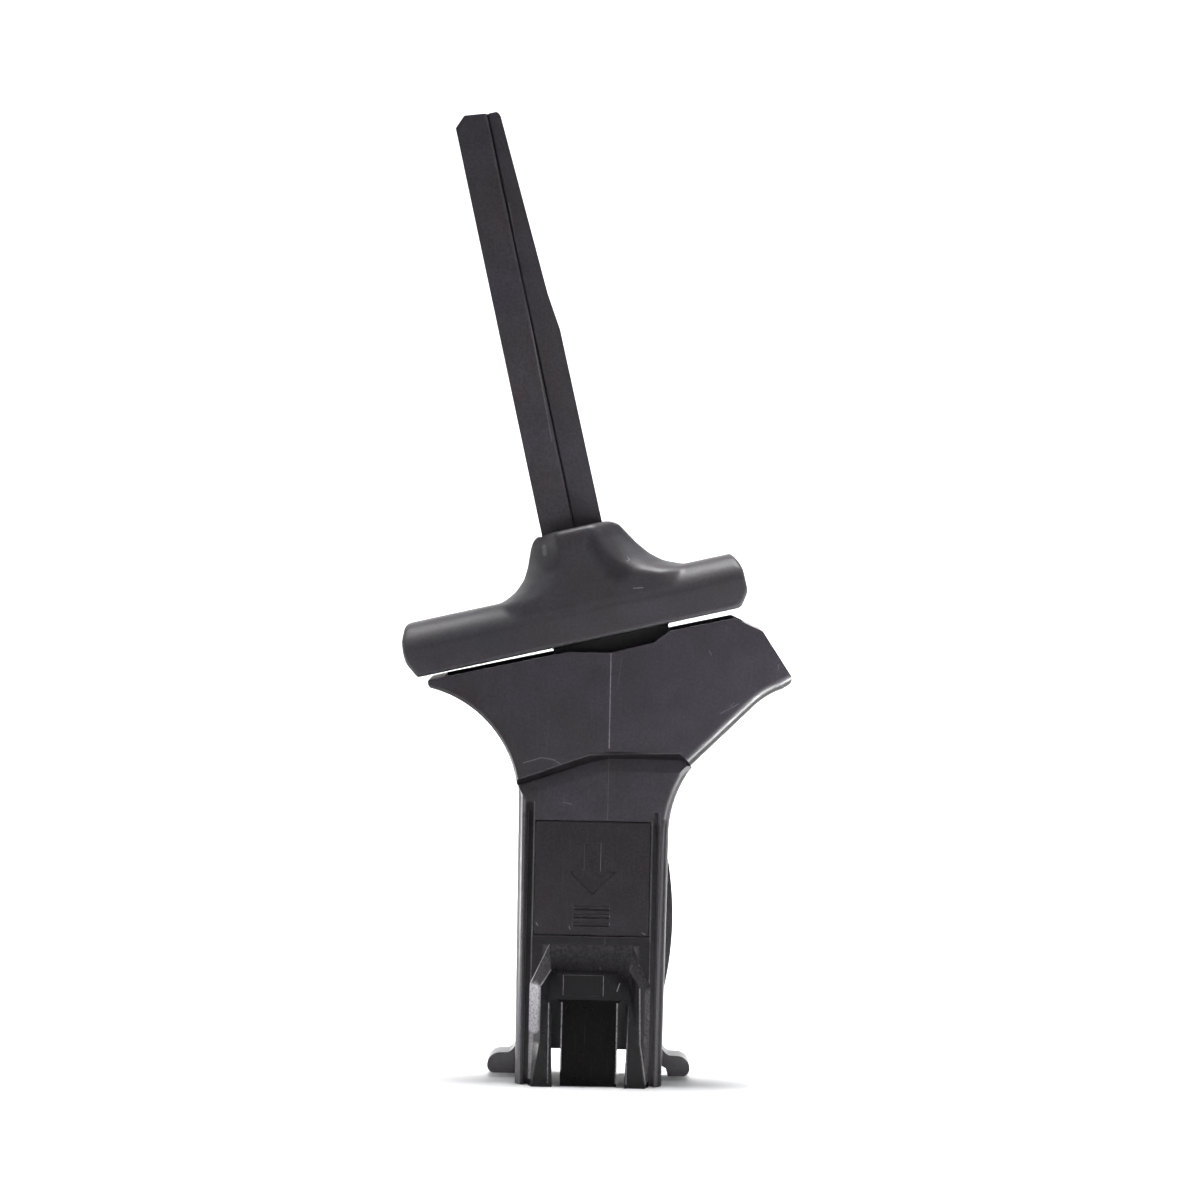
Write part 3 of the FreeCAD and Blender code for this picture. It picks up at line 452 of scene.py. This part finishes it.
# The world's strength by the way back (y) that it is seen in, from the dim front to the bright back.
WORLD_COLOUR = (0.94, 0.95, 1, 1)
WORLD_WAY = (-0.1, 0.95)
WORLD_STRENGTH = (0.22, 0.85)

# Lamps: where each is, what it faces, its width and height, its radiance, and its spread in degrees.
LAMPS = {
    "floor_box": ((0, 0.62, 1.9), (0, 0.62, 0), (7.0, 1.5), 2.7, 30),
    "wall_box": ((0, 0.4, 1.7), (0, 1.6, 0.6), (8.0, 0.6), 2.5, 60),
    "left_box": ((-0.19, -0.04, 0.024), (0, 0, 0.024), (0.055, 0.048), 38, 180),
    "right_box": ((0.264, -0.182, 0.03), (0.024, -0.008, 0.05), (0.045, 0.05), 54, 180),
    "low_right_box": ((0.105, -0.055, 0.003), (0.075, -0.03, 0.09), (0.06, 0.03), 27, 80),
}

# The camera: its roll in degrees, and the height in metres that is in the middle of the picture.
CAMERA_PLACE = Vector((-0.0001, -0.7, 0.14))
CAMERA_ROLL = 1.2
CAMERA_LENS = 89.0
CAMERA_CLIP_START = 0.01
MIDDLE_HIGH = 0.113


def make_sweep():
    """A white floor that curves up into a wall behind the object."""
    bend_start = SWEEP_BACK - SWEEP_BEND
    profile = [(SWEEP_FRONT, 0.0), (bend_start, 0.0)]
    for step in range(1, SWEEP_BEND_STEPS + 1):
        turn = math.radians(90 * step / SWEEP_BEND_STEPS)
        profile.append((bend_start + SWEEP_BEND * math.sin(turn), SWEEP_BEND - SWEEP_BEND * math.cos(turn)))
    profile.append((SWEEP_BACK, SWEEP_HEIGHT))
    points = [(side * SWEEP_HALF_WIDTH, y, z) for y, z in profile for side in (-1, 1)]
    faces = [(2 * i, 2 * i + 1, 2 * i + 3, 2 * i + 2) for i in range(len(profile) - 1)]
    mesh = bpy.data.meshes.new("sweep")
    mesh.from_pydata(points, [], faces)
    mesh.shade_smooth()
    sweep = bpy.data.objects.new("sweep", mesh)
    sweep.data.materials.append(backdrop_white())
    bpy.context.scene.collection.objects.link(sweep)


def softbox(name, place, target, size, radiance, spread):
    """A rectangular lamp that faces target and shines within spread degrees."""
    data = bpy.data.lights.new(name, "AREA")
    data.shape = "RECTANGLE"
    data.size, data.size_y = size
    data.energy = radiance * math.pi * size[0] * size[1]
    data.spread = math.radians(spread)
    lamp = bpy.data.objects.new(name, data)
    lamp.visible_camera = False
    lamp.location = place
    lamp.rotation_euler = (Vector(target) - Vector(place)).to_track_quat("-Z", "Y").to_euler()
    bpy.context.scene.collection.objects.link(lamp)


def light_scene():
    """A light tent: white behind and underneath, dim in front, where the camera stands."""
    world = bpy.data.worlds.new("tent")
    world.use_nodes = True
    bpy.context.scene.world = world
    nodes = world.node_tree.nodes
    links = world.node_tree.links
    way = nodes.new("ShaderNodeTexCoord")
    split = nodes.new("ShaderNodeSeparateXYZ")
    links.new(way.outputs["Generated"], split.inputs["Vector"])
    strength = nodes.new("ShaderNodeMapRange")
    strength.interpolation_type = "SMOOTHSTEP"
    strength.inputs["From Min"].default_value, strength.inputs["From Max"].default_value = WORLD_WAY
    strength.inputs["To Min"].default_value, strength.inputs["To Max"].default_value = WORLD_STRENGTH
    links.new(split.outputs["Y"], strength.inputs["Value"])
    background = nodes["Background"]
    background.inputs["Color"].default_value = WORLD_COLOUR
    links.new(strength.outputs["Result"], background.inputs["Strength"])
    for name, lamp in LAMPS.items():
        softbox(name, *lamp)


def make_camera():
    """Level, a little above the middle of the object, from the hood side, with a slight roll."""
    roll = math.radians(CAMERA_ROLL)
    right = Vector((math.cos(roll), 0, math.sin(roll)))
    up = Vector((-math.sin(roll), 0, math.cos(roll)))
    back = Vector((0, -1, 0))
    data = bpy.data.cameras.new("camera")
    data.lens = CAMERA_LENS
    data.clip_start = CAMERA_CLIP_START
    data.shift_y = (MIDDLE_HIGH - CAMERA_PLACE.z) / abs(CAMERA_PLACE.y) * data.lens / data.sensor_width
    camera = bpy.data.objects.new("camera", data)
    turned = Matrix((right, up, back)).transposed().to_4x4()
    camera.matrix_world = Matrix.Translation(CAMERA_PLACE) @ turned
    bpy.context.scene.collection.objects.link(camera)
    bpy.context.scene.camera = camera


dress_nodes()
make_sweep()
light_scene()
make_camera()
bpy.context.scene.view_settings.view_transform = "Standard"
